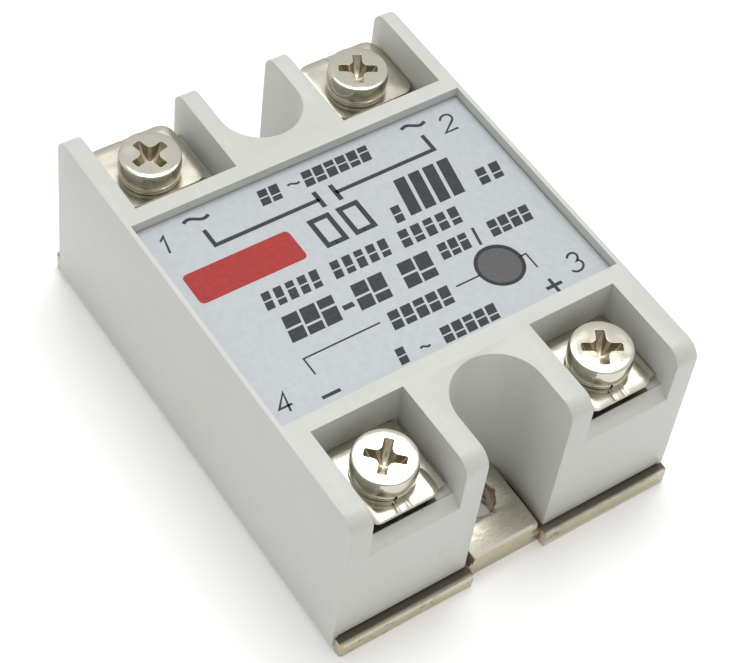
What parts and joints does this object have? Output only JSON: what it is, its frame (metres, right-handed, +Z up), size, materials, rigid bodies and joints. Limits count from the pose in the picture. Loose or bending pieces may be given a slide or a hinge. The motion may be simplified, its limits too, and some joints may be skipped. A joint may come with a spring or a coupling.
{
  "type": "solid state relay",
  "caption": "Panel-mount solid state relay: light grey housing on a metal base plate, screw terminals in pockets at both ends, label panel with a round status window.",
  "frame": {"origin": "middle of the underside of the base plate, midway between the two mounting holes", "axes": "+Z up from the base plate to the screw heads, +Y towards the output terminals 1 and 2, +X towards terminals 2 and 3"},
  "size_m": [0.0454, 0.0624, 0.0238],
  "materials": {
    "housing_plastic": "satin moulded thermoplastic, warm light grey",
    "plate_metal": "plated sheet steel with a faint yellow tint, satin",
    "bond_resin": "cured adhesive line, matte",
    "label_foil": "matt metallised foil panel, pale silver",
    "window_plastic": "tinted diffuser, satin",
    "led_resin": "coloured clear resin",
    "board_laminate": "glass epoxy laminate with green solder mask",
    "potting_resin": "cast epoxy fill, satin black",
    "ceramic_plate": "white alumina plate, matte",
    "mould_compound": "black moulded epoxy package",
    "copper_strap": "bare copper strip",
    "coupler_resin": "white moulded epoxy package",
    "capacitor_film": "boxed film capacitor, gloss",
    "resistor_lacquer": "lacquered body with plain wire leads",
    "diode_glass": "small glass diode body",
    "terminal_plating": "stamped strip, warm nickel plating",
    "nut_steel": "plain plated square nut",
    "screw_plating": "nickel plated steel, polished by turning"
  },
  "bodies": {
    "relay_body": {"housing": "housing_plastic", "base_plate": "plate_metal", "bond_seal": "bond_resin", "label_panel": "label_foil", "status_window": "window_plastic", "status_led": "led_resin", "circuit_board": "board_laminate", "potting_compound": "potting_resin", "ceramic_insulator": "ceramic_plate", "power_triac": "mould_compound", "bus_lead_1": "copper_strap", "bus_lead_2": "copper_strap", "optocoupler": "coupler_resin", "snubber_capacitor": "capacitor_film", "snubber_resistor": "resistor_lacquer", "gate_resistor": "resistor_lacquer", "input_resistors": "resistor_lacquer", "input_diode": "diode_glass", "input_transistor": "mould_compound", "terminal_strip_1": "terminal_plating", "terminal_nut_1": "nut_steel", "terminal_strip_2": "terminal_plating", "terminal_nut_2": "nut_steel", "terminal_strip_3": "terminal_plating", "terminal_nut_3": "nut_steel", "terminal_strip_4": "terminal_plating", "terminal_nut_4": "nut_steel"},
    "clamp_1": {"saddle_clamp_1": "terminal_plating", "lock_washer_1": "screw_plating"},
    "screw_1": {"terminal_screw_1": "screw_plating"},
    "clamp_2": {"saddle_clamp_2": "terminal_plating", "lock_washer_2": "screw_plating"},
    "screw_2": {"terminal_screw_2": "screw_plating"},
    "clamp_3": {"saddle_clamp_3": "terminal_plating", "lock_washer_3": "screw_plating"},
    "screw_3": {"terminal_screw_3": "screw_plating"},
    "clamp_4": {"saddle_clamp_4": "terminal_plating", "lock_washer_4": "screw_plating"},
    "screw_4": {"terminal_screw_4": "screw_plating"}
  },
  "joints": [
    {"name": "terminal_1_lift", "type": "slide", "parent": "relay_body", "child": "clamp_1", "axis": [0, 0, 1], "range_m": [0, 0.0035]},
    {"name": "terminal_1_turn", "type": "hinge", "parent": "clamp_1", "child": "screw_1", "pos_m": [-0.0141, 0.0237, 0.0212], "axis": [0, 0, 1], "range_deg": [0, 1800.1]},
    {"name": "terminal_2_lift", "type": "slide", "parent": "relay_body", "child": "clamp_2", "axis": [0, 0, 1], "range_m": [0, 0.0035]},
    {"name": "terminal_2_turn", "type": "hinge", "parent": "clamp_2", "child": "screw_2", "pos_m": [0.0141, 0.0237, 0.0212], "axis": [0, 0, 1], "range_deg": [0, 1800.1]},
    {"name": "terminal_3_lift", "type": "slide", "parent": "relay_body", "child": "clamp_3", "axis": [0, 0, 1], "range_m": [0, 0.0035]},
    {"name": "terminal_3_turn", "type": "hinge", "parent": "clamp_3", "child": "screw_3", "pos_m": [0.0141, -0.0237, 0.0212], "axis": [0, 0, 1], "range_deg": [0, 1800.1]},
    {"name": "terminal_4_lift", "type": "slide", "parent": "relay_body", "child": "clamp_4", "axis": [0, 0, 1], "range_m": [0, 0.0035]},
    {"name": "terminal_4_turn", "type": "hinge", "parent": "clamp_4", "child": "screw_4", "pos_m": [-0.0141, -0.0237, 0.0212], "axis": [0, 0, 1], "range_deg": [0, 1800.1]}
  ],
  "couplings": [
    {"joint": "terminal_1_turn", "follows": "terminal_1_lift", "rad_per_m": 8976},
    {"joint": "terminal_2_turn", "follows": "terminal_2_lift", "rad_per_m": 8976},
    {"joint": "terminal_3_turn", "follows": "terminal_3_lift", "rad_per_m": 8976},
    {"joint": "terminal_4_turn", "follows": "terminal_4_lift", "rad_per_m": 8976}
  ]
}
